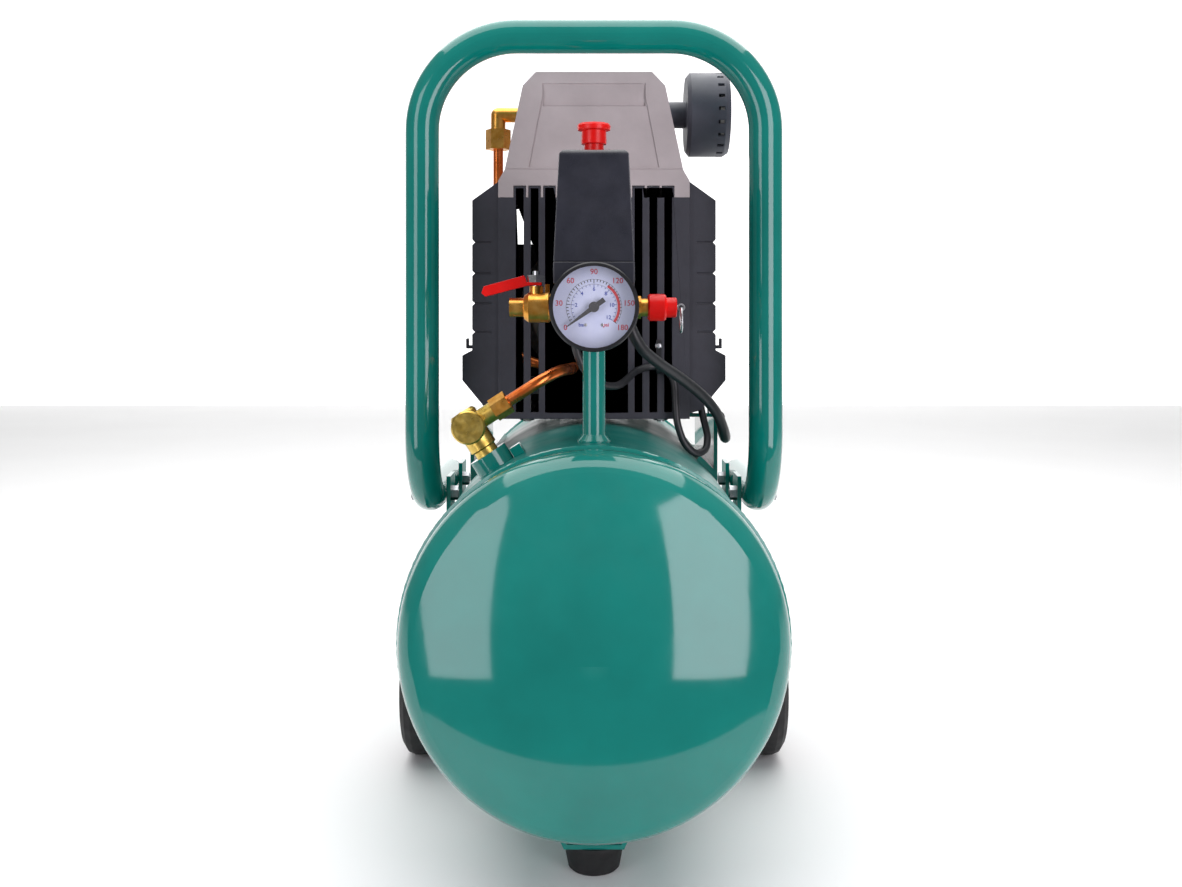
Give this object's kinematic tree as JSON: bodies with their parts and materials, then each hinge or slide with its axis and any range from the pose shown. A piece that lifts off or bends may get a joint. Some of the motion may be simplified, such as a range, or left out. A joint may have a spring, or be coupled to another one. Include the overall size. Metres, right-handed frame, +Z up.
{
  "type": "air compressor",
  "caption": "Portable workshop air compressor: horizontal tank with carrying handle, wheels, shrouded piston pump, gauge and pressure fittings.",
  "frame": {"origin": "on the floor under the middle of the tank", "axes": "+Z up, -Y towards the gauge end, +X to the right seen from the gauge end"},
  "size_m": [0.3285, 0.7504, 0.5915],
  "materials": {
    "teal_paint": "gloss enamel",
    "black_shell": "fine moulded texture",
    "grey_cover": "fine moulded texture",
    "black_plastic": "moulded",
    "red_plastic": "moulded",
    "switch_grey": "moulded",
    "rubber": "matte",
    "tyre": "matte",
    "brass": "machined",
    "copper": "drawn tube",
    "zinc_steel": "zinc plated",
    "steel": "machined",
    "cast_aluminium": "cast",
    "cast_iron": "cast",
    "dial_white": "printed",
    "glass": "clear",
    "cable_sheath": "smooth",
    "chrome": "plated"
  },
  "bodies": {
    "frame": {"tank_barrel": "teal_paint", "tank_heads": "teal_paint", "riser_pipe": "teal_paint", "tank_bosses": "teal_paint", "stand_brackets": "teal_paint", "motor_deck": "teal_paint", "handle_lugs": "teal_paint", "handle_loop": "teal_paint", "handle_bolts": "zinc_steel", "front_foot": "rubber", "mounting_bolts": "zinc_steel", "wheel_axles": "zinc_steel", "drain_cock_body": "brass", "manifold": "brass", "gauge_case": "black_plastic", "gauge_dial": "dial_white", "gauge_glass": "glass", "ball_valve_body": "brass", "safety_valve_body": "brass", "safety_valve_cap": "red_plastic", "switch_base": "switch_grey", "switch_cover": "switch_grey", "cable_fittings": "black_plastic", "check_valve_body": "brass", "discharge_fittings": "brass", "discharge_tube": "copper", "crankcase": "cast_aluminium", "cylinder": "cast_aluminium", "valve_plate": "steel", "cylinder_head": "cast_aluminium", "stator": "cast_iron", "motor_end_bracket": "cast_aluminium", "bearings": "steel", "fan_cover": "black_shell", "deck_mounts": "rubber", "shroud_front": "black_shell", "shroud_side_left": "black_shell", "shroud_side_right": "black_shell", "shroud_top": "grey_cover", "filter_housing": "black_shell", "mains_lead": "cable_sheath", "motor_cable": "cable_sheath", "mains_coil": "cable_sheath", "mains_plug": "cable_sheath"},
    "wheel_left": {"wheel_hub_left": "black_plastic", "wheel_tyre_left": "tyre"},
    "wheel_right": {"wheel_hub_right": "black_plastic", "wheel_tyre_right": "tyre"},
    "motor_shaft": {"crankshaft": "steel", "rotor": "steel", "cooling_fan": "black_plastic"},
    "piston_unit": {"piston": "cast_aluminium"},
    "conrod_unit": {"conrod": "cast_aluminium"},
    "ball_valve_lever": {"ball_valve_stem": "chrome", "valve_lever": "red_plastic"},
    "knob": {"switch_knob": "red_plastic"},
    "safety_pull": {"safety_valve_pin": "steel"},
    "pull_ring": {"safety_valve_ring": "steel"},
    "needle": {"gauge_needle": "black_plastic"},
    "drain_screw": {"drain_cock_screw": "brass"}
  },
  "joints": [
    {"name": "wheel_left_spin", "type": "hinge", "parent": "frame", "child": "wheel_left", "pos_m": [-0.142, 0.05, 0.062], "axis": [1, 0, 0], "continuous": true},
    {"name": "wheel_right_spin", "type": "hinge", "parent": "frame", "child": "wheel_right", "pos_m": [0.142, 0.05, 0.062], "axis": [1, 0, 0], "continuous": true},
    {"name": "motor_shaft_spin", "type": "hinge", "parent": "frame", "child": "motor_shaft", "pos_m": [0, 0.05, 0.378], "axis": [0, 1, 0], "continuous": true},
    {"name": "piston_stroke", "type": "slide", "parent": "frame", "child": "piston_unit", "axis": [0, 0, 1], "range_m": [-0.036, 0]},
    {"name": "conrod_swing", "type": "hinge", "parent": "piston_unit", "child": "conrod_unit", "pos_m": [0, -0.004, 0.476], "axis": [0, 1, 0], "range_deg": [-10.8, 10.8]},
    {"name": "valve_lever_turn", "type": "hinge", "parent": "frame", "child": "ball_valve_lever", "pos_m": [-0.038, -0.185, 0.377], "axis": [0, 0, 1], "range_deg": [0, 90]},
    {"name": "switch_knob_travel", "type": "slide", "parent": "frame", "child": "knob", "axis": [0, 0, 1], "range_m": [-0.006, 0]},
    {"name": "safety_valve_pull", "type": "slide", "parent": "frame", "child": "safety_pull", "axis": [1, 0, 0], "range_m": [0, 0.003], "stiffness_N_per_m": 800},
    {"name": "safety_ring_swing", "type": "hinge", "parent": "safety_pull", "child": "pull_ring", "pos_m": [0.0576, -0.185, 0.377], "axis": [0, 1, 0], "range_deg": [-60, 5]},
    {"name": "gauge_needle_turn", "type": "hinge", "parent": "frame", "child": "needle", "pos_m": [0, -0.23, 0.377], "axis": [0, 1, 0], "range_deg": [0, 270], "stiffness_Nm_per_rad": 0.0002},
    {"name": "drain_screw_turn", "type": "hinge", "parent": "frame", "child": "drain_screw", "pos_m": [0, -0.02, 0.02], "axis": [0, 0, 1], "range_deg": [0, 180]}
  ]
}
